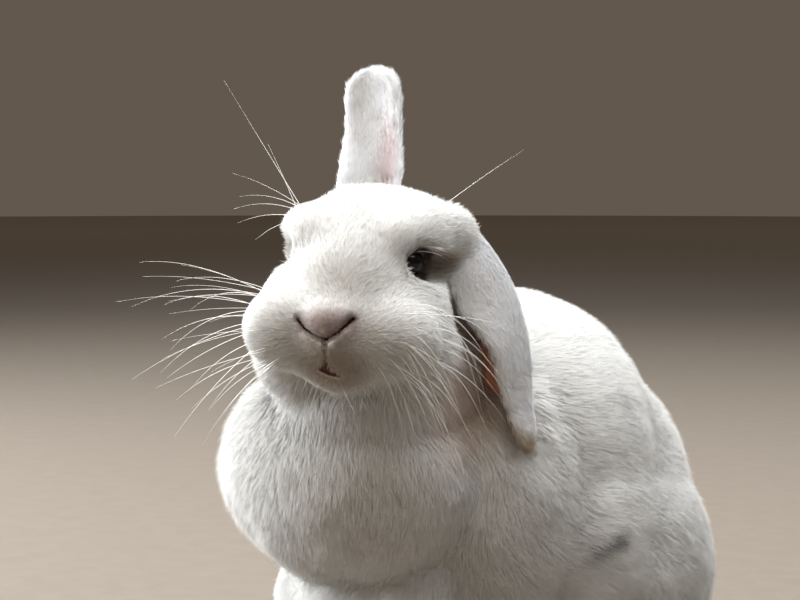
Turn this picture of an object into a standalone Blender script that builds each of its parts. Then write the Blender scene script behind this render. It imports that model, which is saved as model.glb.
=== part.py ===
"""A white lop rabbit sitting alert, life size, as a still museum model.

The rabbit faces -Y, its left side is +X and the floor is z = 0.  The flesh is modelled whole, as
named rounded forms that are melted together, and is then parted with thin cuts into the pieces
that a person would name.  The feet, ears, eyes, tail and claws are pieces of their own.
"""

import math

import bmesh
import bpy
from mathutils import Euler, Matrix, Vector

MM = 0.001

# Driving sizes.
HEAD_YAW = 25.0                           # degrees that the head turns to the rabbit's left
HEAD_ROLL = 4.0                           # degrees that its right side is raised
NOSE_TIP = Vector((36, -150, 180)) * MM   # before the whole is shifted to its own centre
EYE_RADIUS = 8.2 * MM
EYE_CENTRE = (18.5, 46, 25)               # of the left eye, in the head's axes, in mm
CUT_GAP = 0.3 * MM                        # between neighbouring pieces
MELT_VOXEL = 3.0 * MM
MELT_SMOOTHING = 22
FLESH_TRIANGLES = 2000
FOOT_VOXEL = 1.6 * MM
FOOT_SMOOTHING = 5
FOREPAW_TRIANGLES = 260
HIND_FOOT_TRIANGLES = 330
EAR_THICKNESS = 5.0 * MM
CLAW_LENGTH = 9.0 * MM
CLAW_RADIUS = 1.7 * MM
CLAW_SLOPE = math.radians(20)

# What each piece is painted with when it is drawn: colour, roughness, metallic, by the start of its name.
FINISHES = (
    ("eye", ((0.020, 0.018, 0.016), 0.08, 0.0)),
    ("nose", ((0.62, 0.47, 0.42), 0.6, 0.0)),
    ("claw", ((0.50, 0.42, 0.34), 0.4, 0.0)),
    ("", ((0.86, 0.86, 0.84), 0.9, 0.0)),      # white coat
)

# Rounded forms: centre, radii and turn, in mm and degrees.
HEAD_MIDDLE_FORMS = (
    ((0, 64, 19), (37, 43, 35), (0, 0, 0)),        # brain case
    ((0, 76, 33), (39, 28, 22), (0, 0, 0)),        # crown between the ears
    ((0, 40, 20), (27, 34, 22), (32, 0, 0)),       # forehead
    ((0, 28, 9), (22, 30, 17), (38, 0, 0)),        # bridge of the nose
    ((0, 13, 0), (14, 14, 12), (0, 0, 0)),         # end of the nose
    ((0, 30, -8), (28, 28, 18), (0, 0, 0)),        # muzzle
    ((0, 26, -18), (16, 19, 11), (0, 0, 0)),       # chin
    ((0, 60, -14), (32, 32, 22), (0, 0, 0)),       # throat
    ((0, 88, 18), (34, 26, 34), (0, 0, 0)),        # back of the head
    ((32, 81, 27), (13, 14, 14), (0, 0, 0)),       # root of the hanging ear
    ((-8, 87, 43), (15, 12, 14), (0, 0, 0)),       # root of the upright ear
)
HEAD_SIDE_FORMS = (
    ((20, 25, -4), (22, 21, 18), (0, 0, 0)),       # whisker pad
    ((20, 42, 4), (20, 26, 20), (0, 0, 0)),        # face below the eye
    ((24, 52, -12), (23, 30, 26), (0, 0, 0)),      # cheek
    ((23, 54, 35), (14, 20, 15), (0, 0, 0)),       # brow
)
TRUNK_FORMS = (
    ((0, -50, 118), (62, 56, 66), (0, 0, 0)),      # chest
    ((0, -60, 66), (48, 50, 58), (0, 0, 0)),       # brisket
    ((0, 4, 112), (75, 82, 76), (0, 0, 0)),        # ribs
    ((0, 24, 66), (80, 80, 60), (0, 0, 0)),        # belly
    ((0, 42, 84), (74, 66, 76), (0, 0, 0)),        # loin and rump
    ((6, -76, 158), (48, 42, 44), (0, 0, 0)),      # neck
    ((8, -94, 146), (46, 36, 34), (0, 0, 0)),      # throat, where head and dewlap meet
    ((-4, -91, 114), (64, 45, 50), (0, 0, 0)),     # dewlap
)
TRUNK_SIDE_FORMS = (
    ((46, -44, 100), (28, 42, 56), (0, 0, 0)),     # shoulder
    ((54, 40, 58), (32, 50, 54), (0, 0, 0)),       # haunch
    ((52, 2, 78), (30, 48, 52), (0, 0, 0)),        # flank
    ((29, -82, 58), (18, 21, 46), (-8, 0, 0)),     # foreleg
)
TAIL_FORM = ((0, 106, 52), (16, 14, 26), (-18, 0, 0))
FOREPAW_FORMS = (
    ((26, -99, 10), (13, 20, 13), (0, 0, 0)),      # wrist and palm
    ((27, -92, 18), (14, 15, 16), (0, 0, 0)),      # root of the leg
)
FOREPAW_TOES = ((26, -115, 6.5), (4.7, 11, 8), 6.0, 1.6)    # middle, radii, spacing, set back
HIND_FOOT_FORMS = (
    ((60, 24, 10), (14, 50, 14), (0, 0, 0)),       # sole
    ((57, 56, 14), (13, 28, 17), (0, 0, 0)),       # heel
    ((62, -8, 10), (18, 25, 14), (0, 0, 0)),       # forefoot
)
HIND_TOES = ((62, -27, 7), (5.3, 14, 8.5), 7.4, 2.0)
ORBIT_FORM = ((28, 40.5, 25), (12.5, 10.5, 7.5), (0, 0, 0))


def clear_scene():
    for obj in list(bpy.data.objects):
        bpy.data.objects.remove(obj)


def head_frame():
    """The head's own axes, with the origin at the tip of the nose."""
    return (
        Matrix.Translation(NOSE_TIP)
        @ Matrix.Rotation(math.radians(HEAD_YAW), 4, "Z")
        @ Matrix.Rotation(math.radians(HEAD_ROLL), 4, "Y")
    )


def place(centre, radii, turn=(0, 0, 0), frame=Matrix.Identity(4)):
    """The matrix that makes a unit ball into one rounded form."""
    return (
        frame
        @ Matrix.Translation(Vector(centre) * MM)
        @ Euler([math.radians(a) for a in turn]).to_matrix().to_4x4()
        @ Matrix.Diagonal(Vector([*[r * MM for r in radii], 1]))
    )


def mirrored(forms):
    """Each form, and the same form on the other side."""
    for (x, y, z), radii, (a, b, c) in forms:
        yield (x, y, z), radii, (a, b, c)
        yield (-x, y, z), radii, (a, -b, -c)


def balls(bm, forms, frame=Matrix.Identity(4), around=32):
    for centre, radii, turn in forms:
        where = place(centre, radii, turn, frame)
        bmesh.ops.create_uvsphere(bm, u_segments=around, v_segments=around // 2, radius=1, matrix=where)


def new_object(name, bm, collection, smooth=True):
    mesh = bpy.data.meshes.new(name)
    bm.to_mesh(mesh)
    bm.free()
    if smooth:
        mesh.shade_smooth()
    obj = bpy.data.objects.new(name, mesh)
    collection.objects.link(obj)
    return obj


def settled(obj):
    """Turns the object's modifiers into its mesh."""
    graph = bpy.context.evaluated_depsgraph_get()
    made = bpy.data.meshes.new_from_object(obj.evaluated_get(graph))
    obj.modifiers.clear()
    obj.data = made
    return obj


def melted(obj, voxel, smoothing, triangles):
    """Melts overlapping forms into one smooth skin of about this many triangles."""
    melt = obj.modifiers.new("melt", "REMESH")
    melt.mode = "VOXEL"
    melt.voxel_size = voxel
    soften = obj.modifiers.new("soften", "SMOOTH")
    soften.factor = 0.5
    soften.iterations = smoothing
    settled(obj)
    lighten = obj.modifiers.new("lighten", "DECIMATE")
    lighten.ratio = triangles / (2 * len(obj.data.polygons))
    settled(obj)
    obj.data.shade_smooth()
    return obj


def cut(obj, other, operation):
    boolean = obj.modifiers.new(operation.lower(), "BOOLEAN")
    boolean.solver = "EXACT"
    boolean.operation = operation
    boolean.object = other


def region(name, form, frame, hidden, grow=0.0, around=16):
    """A cutter: one ball, bigger all round by grow."""
    bm = bmesh.new()
    centre, radii, turn = form
    balls(bm, [(centre, [r + grow / MM for r in radii], turn)], frame, around)
    return new_object(name, bm, hidden, smooth=False)


# Where the flesh is parted: each region's form and axes.  A piece takes what the ones before it leave.
REGIONS = (
    ("nose", ((0, 1, 2), (11, 9, 9), (0, 0, 0)), "head"),
    ("head", ((0, 46, 22), (64, 71, 63), (0, 0, 0)), "head"),
    ("foreleg_left", ((40, -84, 34), (39, 50, 50), (0, 0, 0)), "world"),
    ("foreleg_right", ((-40, -84, 34), (39, 50, 50), (0, 0, 0)), "world"),
    ("dewlap", ((-4, -112, 112), (90, 54, 60), (0, 0, 0)), "world"),
    ("neck", ((6, -64, 166), (80, 52, 50), (0, 0, 0)), "world"),
    ("thigh_left", ((84, 42, 54), (56, 64, 66), (0, 0, 0)), "world"),
    ("thigh_right", ((-84, 42, 54), (56, 64, 66), (0, 0, 0)), "world"),
)

EARS = {
    # Station by station along the fold: where it is and which way it opens, in the head's axes, then
    # half its width, its depth and how far it curls round.
    "ear_right": (
        ((-8, 84, 30), (0.3, -1, 0), 13.5, 14, 120),
        ((-9, 88, 52), (0.4, -1, 0), 13.0, 13, 105),
        ((-10.5, 94, 70), (0.4, -1, 0), 12.5, 9, 90),
        ((-12.5, 99, 87), (0.3, -1, 0), 12.0, 7, 80),
        ((-14.5, 102, 103), (0.2, -1, 0), 11.0, 6, 75),
    ),
    "ear_left": (
        ((14, 84, 42), (-0.3, -0.6, -0.8), 13.0, 15, 110),
        ((37, 83, 36), (-0.7, -0.5, -0.7), 14.0, 18, 105),
        ((55, 81, 17), (-1, -0.3, -0.2), 14.0, 20, 100),
        ((63, 80, -7), (-1, -0.3, 0), 13.0, 19, 95),
        ((66, 79, -31), (-1, -0.5, 0), 12.5, 15, 90),
        ((69, 78, -55), (-1, -0.8, 0), 12.0, 12, 85),
    ),
}


def spline_point(points, t):
    """A point on a smooth curve through evenly spaced points, t from 0 to 1."""
    n = len(points) - 1
    i = min(int(t * n), n - 1)
    u = t * n - i
    p0, p1 = points[max(i - 1, 0)], points[i]
    p2, p3 = points[i + 1], points[min(i + 2, n)]
    return 0.5 * (
        2 * p1
        + (p2 - p0) * u
        + (2 * p0 - 5 * p1 + 4 * p2 - p3) * u * u
        + (3 * p1 - p0 - 3 * p2 + p3) * u ** 3
    )


def ear(name, stations, collection):
    head = head_frame()
    path = [head @ (Vector(s[0]) * MM) for s in stations]
    opens = [head.to_3x3() @ Vector(s[1]).normalized() for s in stations]
    shape = [Vector(s[2:]) for s in stations]
    bm = bmesh.new()
    rings = []
    along, across = 12, 6
    for i in range(along + 1):
        t = i / along
        at = spline_point(path, t)
        way = spline_point(path, min(t + 0.02, 1)) - spline_point(path, max(t - 0.02, 0))
        way.normalize()
        front = spline_point(opens, t)
        front = (front - front.dot(way) * way).normalized()
        side = way.cross(front)
        half, depth, bend = spline_point(shape, t)
        end = math.sqrt(max(1 - (max(t - 0.8, 0) / 0.203) ** 2, 0.12))
        bend = math.radians(bend)
        wide = half * MM * end / math.sin(min(bend, math.pi / 2))
        deep = depth * MM * end / (1 - math.cos(bend))
        ring = []
        for j in range(across + 1):
            a = bend * (2 * j / across - 1)
            spot = at + wide * math.sin(a) * side + deep * (1 - math.cos(a)) * front
            ring.append(bm.verts.new(spot))
        rings.append(ring)
    for r, s in zip(rings, rings[1:]):
        for j in range(across):
            bm.faces.new((r[j], r[j + 1], s[j + 1], s[j]))
    obj = new_object(name, bm, collection)
    wall = obj.modifiers.new("wall", "SOLIDIFY")
    wall.thickness = EAR_THICKNESS
    wall.offset = 0
    return obj


def toes(forms):
    """Four toes side by side; the inner two reach furthest."""
    (x, y, z), radii, spacing, set_back = forms
    for k in (-1.5, -0.5, 0.5, 1.5):
        yield (x + spacing * k, y + set_back * k * k, z), radii, (0, 0, 0)


def foot(name, forms, toe_forms, mirror, collection, triangles):
    bm = bmesh.new()
    balls(bm, [*forms, *toes(toe_forms)])
    if mirror:
        bmesh.ops.scale(bm, vec=(-1, 1, 1), verts=bm.verts)
        bmesh.ops.reverse_faces(bm, faces=bm.faces)
    return melted(new_object(name, bm, collection), FOOT_VOXEL, FOOT_SMOOTHING, triangles)


def claw(name, toe, mirror, collection):
    """A tapering claw that starts inside the toe and points forward and down."""
    (x, y, z), (_, reach, _), _ = toe
    bm = bmesh.new()
    bmesh.ops.create_cone(
        bm, cap_ends=True, segments=6, radius1=CLAW_RADIUS, radius2=0.3 * MM, depth=CLAW_LENGTH
    )
    base = Vector((-x if mirror else x, y - 0.7 * reach, z - 1)) * MM
    aim = Vector((0, -math.cos(CLAW_SLOPE), -math.sin(CLAW_SLOPE)))
    turn = aim.to_track_quat("Z", "Y").to_matrix().to_4x4()
    bm.transform(Matrix.Translation(base + aim * CLAW_LENGTH / 2) @ turn)
    return new_object(name, bm, collection)


def grown(name, obj, hidden):
    """A cutter: the same shape, bigger all round by the cutting gap."""
    cutter = bpy.data.objects.new(name, obj.data)
    hidden.objects.link(cutter)
    swell = cutter.modifiers.new("swell", "DISPLACE")
    swell.mid_level = 0
    swell.strength = CUT_GAP
    return cutter


def finish(obj):
    """Gives the object a material of its own."""
    colour, roughness, metallic = next(f for start, f in FINISHES if obj.name.startswith(start))
    material = bpy.data.materials.new(obj.name)
    material.use_nodes = True
    shader = material.node_tree.nodes["Principled BSDF"]
    shader.inputs["Base Color"].default_value = (*colour, 1)
    shader.inputs["Roughness"].default_value = roughness
    shader.inputs["Metallic"].default_value = metallic
    if not obj.data.materials:
        obj.data.materials.append(None)
    obj.material_slots[0].link = "OBJECT"
    obj.material_slots[0].material = material


def centre_over_origin(rabbit):
    """Shifts everything so that the rabbit's box stands centred on the origin."""
    graph = bpy.context.evaluated_depsgraph_get()
    corners = []
    for obj in rabbit.objects:
        corners += [Vector(c) for c in obj.evaluated_get(graph).bound_box]
    middle = Vector([(min(c[i] for c in corners) + max(c[i] for c in corners)) / 2 for i in range(3)])
    middle.z = 0
    for mesh in {obj.data for obj in bpy.data.objects}:
        mesh.transform(Matrix.Translation(-middle))


def main():
    clear_scene()
    scene = bpy.context.scene
    rabbit = bpy.data.collections.new("lop_rabbit")
    hidden = bpy.data.collections.new("cutters")
    scene.collection.children.link(rabbit)
    scene.collection.children.link(hidden)
    head = head_frame()
    bm = bmesh.new()
    balls(bm, HEAD_MIDDLE_FORMS, head)
    balls(bm, mirrored(HEAD_SIDE_FORMS), head)
    balls(bm, TRUNK_FORMS)
    balls(bm, mirrored(TRUNK_SIDE_FORMS))
    flesh = melted(new_object("flesh", bm, hidden), MELT_VOXEL, MELT_SMOOTHING, FLESH_TRIANGLES)
    hull = grown("hull", flesh, hidden)
    floor = bmesh.new()
    bmesh.ops.create_cube(floor, size=1, matrix=Matrix.Translation((0, 0, -0.5)))
    floor = new_object("floor", floor, hidden)

    feet = []
    for side, mirror in (("left", False), ("right", True)):
        for part, forms, toe_forms, triangles in (
            ("forepaw_", FOREPAW_FORMS, FOREPAW_TOES, FOREPAW_TRIANGLES),
            ("hind_foot_", HIND_FOOT_FORMS, HIND_TOES, HIND_FOOT_TRIANGLES),
        ):
            made = foot(part + side, forms, toe_forms, mirror, rabbit, triangles)
            feet.append(grown(part + side + "_cutter", made, hidden))
            cut(made, floor, "DIFFERENCE")
            for number, toe in enumerate(toes(toe_forms), 1):
                nail = claw(f"claw_{part}{side}_{number}", toe, mirror, rabbit)
                cut(nail, feet[-1], "DIFFERENCE")

    sockets = []
    x, y, z = EYE_CENTRE
    r = EYE_RADIUS / MM
    for side, sign in (("left", 1), ("right", -1)):
        bm = bmesh.new()
        balls(bm, [((sign * x, y, z), (r, r, r), (0, 90, 0))], head, 16)
        eye = new_object("eye_" + side, bm, rabbit)
        sockets.append(grown("socket_" + side, eye, hidden))
    for form in mirrored([ORBIT_FORM]):
        sockets.append(region("orbit", form, head, hidden, around=10))

    bm = bmesh.new()
    balls(bm, [TAIL_FORM], around=14)
    tail = new_object("tail", bm, rabbit)
    cut(tail, hull, "DIFFERENCE")
    for name, stations in EARS.items():
        cut(ear(name, stations, rabbit), hull, "DIFFERENCE")

    frames = {"head": head, "world": Matrix.Identity(4)}
    taken = []
    for name, form, frame in REGIONS:
        piece = bpy.data.objects.new(name, flesh.data)
        rabbit.objects.link(piece)
        cut(piece, region("in_" + name, form, frames[frame], hidden), "INTERSECT")
        for cutter in taken:
            cut(piece, cutter, "DIFFERENCE")
        taken.append(region("out_" + name, form, frames[frame], hidden, CUT_GAP))
        if name == "head":
            for cutter in sockets:
                cut(piece, cutter, "DIFFERENCE")
        if name.startswith(("foreleg", "thigh")):
            for cutter in feet:
                cut(piece, cutter, "DIFFERENCE")
    trunk = bpy.data.objects.new("trunk", flesh.data)
    rabbit.objects.link(trunk)
    for cutter in [*taken, *feet]:
        cut(trunk, cutter, "DIFFERENCE")
    for cutter in hidden.objects:
        cutter.display_type = "WIRE"
        cutter.hide_render = True
    for obj in rabbit.objects:
        finish(obj)
    centre_over_origin(rabbit)


main()
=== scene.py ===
"""A white lop rabbit sitting alert, as a still, life-size museum model."""

import math

import bmesh
import bpy
import numpy as np
from mathutils import Matrix, Vector, kdtree


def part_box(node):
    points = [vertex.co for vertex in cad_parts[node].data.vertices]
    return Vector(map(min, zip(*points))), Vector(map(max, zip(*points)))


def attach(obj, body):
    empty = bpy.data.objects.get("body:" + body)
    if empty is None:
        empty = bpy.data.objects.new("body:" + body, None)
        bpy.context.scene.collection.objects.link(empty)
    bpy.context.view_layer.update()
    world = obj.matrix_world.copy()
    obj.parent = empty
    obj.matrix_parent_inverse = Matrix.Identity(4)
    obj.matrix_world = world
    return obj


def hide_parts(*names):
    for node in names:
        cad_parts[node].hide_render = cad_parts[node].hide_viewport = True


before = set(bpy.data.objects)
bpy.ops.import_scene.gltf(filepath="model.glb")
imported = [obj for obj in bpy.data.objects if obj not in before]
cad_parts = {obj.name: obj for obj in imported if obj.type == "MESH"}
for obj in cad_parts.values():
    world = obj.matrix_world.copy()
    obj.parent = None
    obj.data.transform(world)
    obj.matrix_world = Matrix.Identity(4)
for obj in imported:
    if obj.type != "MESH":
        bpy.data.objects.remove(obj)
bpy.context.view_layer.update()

# ---------------------------------------------------------------------------------------------
# Flesh.  The whole hide, from nose to tail, starts as rounded masses of flesh: the head, the trunk
# with its dewlap, and the forelegs.  They melt into one another under the coat, so each mass is
# smaller all round than it looks in the fur, by the depth of the coat that grows on it.

MM = 0.001
HEAD_TURN = 25.0        # degrees, to the rabbit's left
HEAD_TILT = 4.0         # degrees, its right side raised
EYE_ABOVE_NOSE = 25.0   # mm
EYE_BEHIND_NOSE = 46.0


def middle_of(node):
    low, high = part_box(node)
    return (low + high) / 2


head_turn = (
    Matrix.Rotation(math.radians(HEAD_TURN), 4, "Z") @ Matrix.Rotation(math.radians(HEAD_TILT), 4, "Y")
)
eyes_middle = (middle_of("eye_left") + middle_of("eye_right")) / 2
nose_tip = eyes_middle - head_turn.to_3x3() @ (Vector((0, EYE_BEHIND_NOSE, EYE_ABOVE_NOSE)) * MM)
head_axes = Matrix.Translation(nose_tip) @ head_turn                         # x left, y back, z up
body_axes = Matrix.Translation(nose_tip - Vector((36, -150, 180)) * MM)

# Each mass: middle, radii, turn about its left-right axis in degrees, depth of the coat on it, and
# the way the fur lies there.  Lengths are in mm.  Most masses of the head have no way of their own:
# the fur of the face runs back from the nose.
BACK, DOWN_BACK, DOWN = (0, 1, -0.5), (0, 0.5, -1), (0, 0.05, -1)
middle_of_head = (
    ((0, 64, 19), (37, 43, 35), 0, 3.5, None),         # brain case
    ((0, 76, 33), (39, 28, 22), 0, 3.5, None),         # crown
    ((0, 40, 20), (27, 34, 22), 32, 2.5, None),        # forehead
    ((0, 28, 9), (22, 30, 17), 38, 2.0, None),         # bridge of the nose
    ((0, 13, 0), (14, 14, 12), 0, 1.0, None),          # end of the nose
    ((0, 30, -8), (28, 28, 18), 0, 2.0, None),         # muzzle
    ((0, 26, -18), (16, 19, 11), 0, 2.5, None),        # chin
    ((0, 60, -14), (32, 32, 22), 0, 4.5, None),        # throat
    ((0, 88, 18), (34, 26, 34), 0, 5.0, DOWN_BACK),    # back of the head
    ((32, 81, 27), (13, 14, 14), 0, 3.0, None),        # root of the hanging ear
    ((30, 68, 36), (14, 17, 14), 0, 3.0, None),        # fold in front of it
    ((32, 73, 8), (9, 12, 15), 0, 3.0, None),          # temple, behind the cheek
    ((23, 54, 36), (14, 20, 15), 0, 2.5, None),        # left brow
    ((-23, 54, 32), (14, 20, 14), 0, 2.5, None),       # right brow
    ((22, 52, -12), (22, 30, 26), 0, 4.0, None),       # left cheek
    ((-24, 52, -12), (23, 30, 26), 0, 4.0, None),      # right cheek
    ((-8, 87, 43), (15, 12, 14), 0, 3.0, None),        # root of the upright ear
)
sides_of_head = (
    ((20, 25, -4), (22, 21, 18), 0, 2.0, None),        # whisker pad
    ((20, 42, 4), (20, 26, 20), 0, 2.2, None),         # face below the eye
    ((17, 43, 33), (14, 18, 12), 0, 2.5, None),        # edge of the forehead
    ((22, 46, 38), (12, 15, 9), 0, 2.5, None),         # ridge over the eye
)
middle_of_trunk = (
    ((0, -50, 118), (62, 56, 66), 0, 6.5, DOWN_BACK),  # chest
    ((0, -60, 66), (48, 50, 58), 0, 6.5, DOWN),        # brisket
    ((0, 4, 112), (75, 82, 76), 0, 6.5, BACK),         # ribs
    ((0, 24, 66), (80, 80, 60), 0, 6.5, BACK),         # belly
    ((0, 42, 84), (74, 66, 76), 0, 6.5, BACK),         # loin and rump
    ((6, -76, 158), (48, 42, 44), 0, 6.5, DOWN_BACK),  # neck
    ((8, -94, 146), (46, 36, 34), 0, 6.5, DOWN),       # under the jaw
    ((-4, -91, 114), (64, 45, 50), 0, 6.5, DOWN),      # dewlap
)
sides_of_trunk = (
    ((46, -44, 100), (28, 42, 56), 0, 6.5, DOWN_BACK),  # shoulder
    ((54, 40, 58), (32, 50, 54), 0, 6.5, DOWN_BACK),    # haunch
    ((52, 2, 78), (30, 48, 52), 0, 6.5, BACK),          # flank
    ((29, -82, 58), (18, 21, 46), -8, 4.0, DOWN),       # foreleg
)


def placed(masses, axes, both_sides=False):
    """For each mass: the matrix that makes a unit ball into it, its coat's depth, and the fur's way."""
    found = []
    for middle, radii, turn, depth, way in masses:
        for side in (1, -1) if both_sides else (1,):
            spot = Vector((side * middle[0], middle[1], middle[2])) * MM
            size = Vector([(r - depth) * MM for r in radii])
            matrix = (
                axes
                @ Matrix.Translation(spot)
                @ Matrix.Rotation(math.radians(turn), 4, "X")
                @ Matrix.Diagonal((*size, 1))
            )
            found.append((matrix, depth, way))
    return found


def added(name, data):
    """A new object in the scene, at the origin."""
    thing = bpy.data.objects.new(name, data)
    bpy.context.scene.collection.objects.link(thing)
    return thing


def melted(name, masses, voxel, smoothing):
    """One closed surface round all these masses, with its creases filled."""
    ball = bmesh.new()
    bmesh.ops.create_uvsphere(ball, u_segments=48, v_segments=24, radius=1)
    mesh = bpy.data.meshes.new(name)
    ball.to_mesh(mesh)
    ball.free()
    bm = bmesh.new()
    for matrix, _, _ in masses:
        mesh.transform(matrix)
        bm.from_mesh(mesh)
        mesh.transform(matrix.inverted())
    bm.to_mesh(mesh)
    bm.free()
    piece = added(name, mesh)
    remelt(piece, voxel, smoothing)
    return piece


def apply_modifiers(piece):
    graph = bpy.context.evaluated_depsgraph_get()
    mesh = bpy.data.meshes.new_from_object(piece.evaluated_get(graph))
    piece.modifiers.clear()
    piece.data = mesh
    mesh.shade_smooth()


def remelt(piece, voxel, smoothing):
    """Makes one closed skin of whatever the piece is made of, and softens it."""
    remesh = piece.modifiers.new("melt", "REMESH")
    remesh.mode = "VOXEL"
    remesh.voxel_size = voxel
    soften = piece.modifiers.new("soften", "SMOOTH")
    soften.factor = 0.5
    soften.iterations = smoothing
    apply_modifiers(piece)


masses = placed(middle_of_head, head_axes) + placed(sides_of_head, head_axes, both_sides=True)
masses += placed(middle_of_trunk, body_axes) + placed(sides_of_trunk, body_axes, both_sides=True)
skin = melted("skin", masses, voxel=2.0 * MM, smoothing=50)

# ---------------------------------------------------------------------------------------------
# Feet and tail.  Each foot is a sole or palm with four toes side by side, the outer toes set back.
# The soles rest flat on the floor.  The tail is a short tuft against the rump.

FORWARD, UP = (0, -1, -0.25), (0, 0.5, 1)
SOLE = 0.8 * MM         # the pads' height off the floor, under their fur
TOES = (-1.5, -0.5, 0.5, 1.5)


def toes(middle, radii, spacing, set_back):
    """Four like masses in a row, the outer ones further back."""
    x, y, z = middle
    return tuple(((x + spacing * k, y + set_back * k * k, z), radii, 0, 1.2, FORWARD) for k in TOES)


forepaw = (
    ((26, -99, 10), (13, 20, 13), 0, 2.0, FORWARD),    # palm
    ((27, -92, 18), (14, 15, 16), 0, 2.5, DOWN),       # root of the leg
    *toes((26, -115, 6.5), (4.7, 11, 8), 6.0, 1.6),
)
hind_foot = (
    ((60, 24, 10), (14, 50, 14), 0, 2.0, FORWARD),     # sole
    ((57, 56, 14), (13, 28, 17), 0, 2.5, FORWARD),     # heel
    ((62, -8, 10), (18, 25, 14), 0, 2.0, FORWARD),     # forefoot
    *toes((62, -27, 7), (5.3, 14, 8.5), 7.4, 2.0),
)
tail = (((0, 106, 52), (16, 14, 26), -18, 6.0, UP),)
feet_masses = placed(forepaw + hind_foot, body_axes, both_sides=True) + placed(tail, body_axes)
feet = melted("feet", feet_masses, voxel=1.4 * MM, smoothing=6)
masses += feet_masses

# ---------------------------------------------------------------------------------------------
# Ears.  Thin gristle under skin, each folded along its length into a trough: the right one stands
# up, open to the front, and the left one hangs beside the cheek, open towards it.

EAR_WALL = 3.0 * MM
EAR_ROWS, EAR_COLUMNS = 60, 24
UPRIGHT_ROUND_FROM, HANGING_ROUND_FROM = 0.83, 0.89    # how far along each tip starts to round off
TIP_END = 1.003         # the rounding would end this far along, so the tip stays a little open
# Stations from root to tip: the fold's place, the way the trough opens, half its width, its depth,
# and how far round it curls in degrees.
upright_ear = (
    ((-8, 84, 30), (0.3, -1, 0), 12.3, 13, 120),
    ((-9, 88, 52), (0.1, -1, 0), 11.8, 8, 95),
    ((-10.5, 94, 70), (-0.1, -1, 0), 12.4, 4.5, 75),
    ((-12.5, 98, 86), (-0.2, -1, 0), 12.7, 3.2, 60),
    ((-14.5, 100, 102), (-0.2, -1, 0), 12.6, 2.8, 55),
)
hanging_ear = (
    ((14, 84, 42), (-0.3, -0.6, -0.8), 12.0, 14, 110),
    ((37, 83, 35), (-0.7, -0.5, -0.7), 13.0, 17, 105),
    ((54, 81, 16), (-1, -0.4, -0.2), 13.5, 25, 100),
    ((62, 80, -7), (-1, -0.75, 0), 12.5, 21, 95),
    ((65, 79, -30), (-1, -0.85, 0), 12.0, 16, 90),
    ((67.8, 78, -48.8), (-1, -0.9, 0), 12.2, 11, 80),
)


def on_curve(points, t):
    """The point at t, from 0 to 1, on the smooth curve through these evenly spaced points."""
    last = len(points) - 1
    i = min(int(t * last), last - 1)
    u = t * last - i
    a, b, c, d = points[max(i - 1, 0)], points[i], points[i + 1], points[min(i + 2, last)]
    return (
        2 * b + (c - a) * u + (2 * a - 5 * b + 4 * c - d) * u * u + (3 * b - a - 3 * c + d) * u ** 3
    ) / 2


def trough(bm, stations, round_from):
    """Adds one ear's sheet, and gives for each of its points the place, the way to the tip, the way
    it opens, how far along it is and how far across."""
    path = [head_axes @ (Vector(place) * MM) for place, _, _, _, _ in stations]
    fronts = [head_turn.to_3x3() @ Vector(opens).normalized() for _, opens, _, _, _ in stations]
    sizes = [Vector(rest) for _, _, *rest in stations]
    spots, inwards, rows, known = [], [], [], []
    for i in range(EAR_ROWS + 1):
        t = i / EAR_ROWS
        way = (on_curve(path, min(t + 0.02, 1)) - on_curve(path, max(t - 0.02, 0))).normalized()
        front = on_curve(fronts, t)
        front = (front - front.dot(way) * way).normalized()
        half, depth, bend = on_curve(sizes, t)
        bend = math.radians(bend)
        rounding = math.sqrt(1 - (max(t - round_from, 0) / (TIP_END - round_from)) ** 2)
        wide = half * MM * rounding / math.sin(min(bend, math.pi / 2))
        deep = depth * MM * rounding / (1 - math.cos(bend))
        angles = [bend * (2 * j / EAR_COLUMNS - 1) for j in range(EAR_COLUMNS + 1)]
        aside = way.cross(front)
        spots.append([
            on_curve(path, t) + wide * math.sin(angle) * aside + deep * (1 - math.cos(angle)) * front
            for angle in angles
        ])
        inwards.append([front * math.cos(angle) - aside * math.sin(angle) for angle in angles])
        rows.append([bm.verts.new(spot) for spot in spots[-1]])
    for i in range(EAR_ROWS + 1):
        start = min(i, EAR_ROWS - 1)
        for j in range(EAR_COLUMNS + 1):
            way = (spots[start + 1][j] - spots[start][j]).normalized()
            known.append((*spots[i][j], *way, *inwards[i][j], i / EAR_ROWS, 2 * j / EAR_COLUMNS - 1))
    for low, high in zip(rows, rows[1:]):
        for j in range(EAR_COLUMNS):
            bm.faces.new((low[j], low[j + 1], high[j + 1], high[j]))
    return known


sheet = bmesh.new()
upright_points = trough(sheet, upright_ear, UPRIGHT_ROUND_FROM)
ear_points = np.array(upright_points + trough(sheet, hanging_ear, HANGING_ROUND_FROM))
mesh = bpy.data.meshes.new("ears")
sheet.to_mesh(mesh)
sheet.free()
ears = added("ears", mesh)
wall = ears.modifiers.new("wall", "SOLIDIFY")
wall.thickness = EAR_WALL
wall.offset = 0
apply_modifiers(ears)

# ---------------------------------------------------------------------------------------------
# Hide.  Body, feet, tail and ears become one skin with no seam.  Round the eyes, nose and mouth it
# is finer, and there it gets its lids, nostrils, the groove of the upper lip and the mouth.

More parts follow.
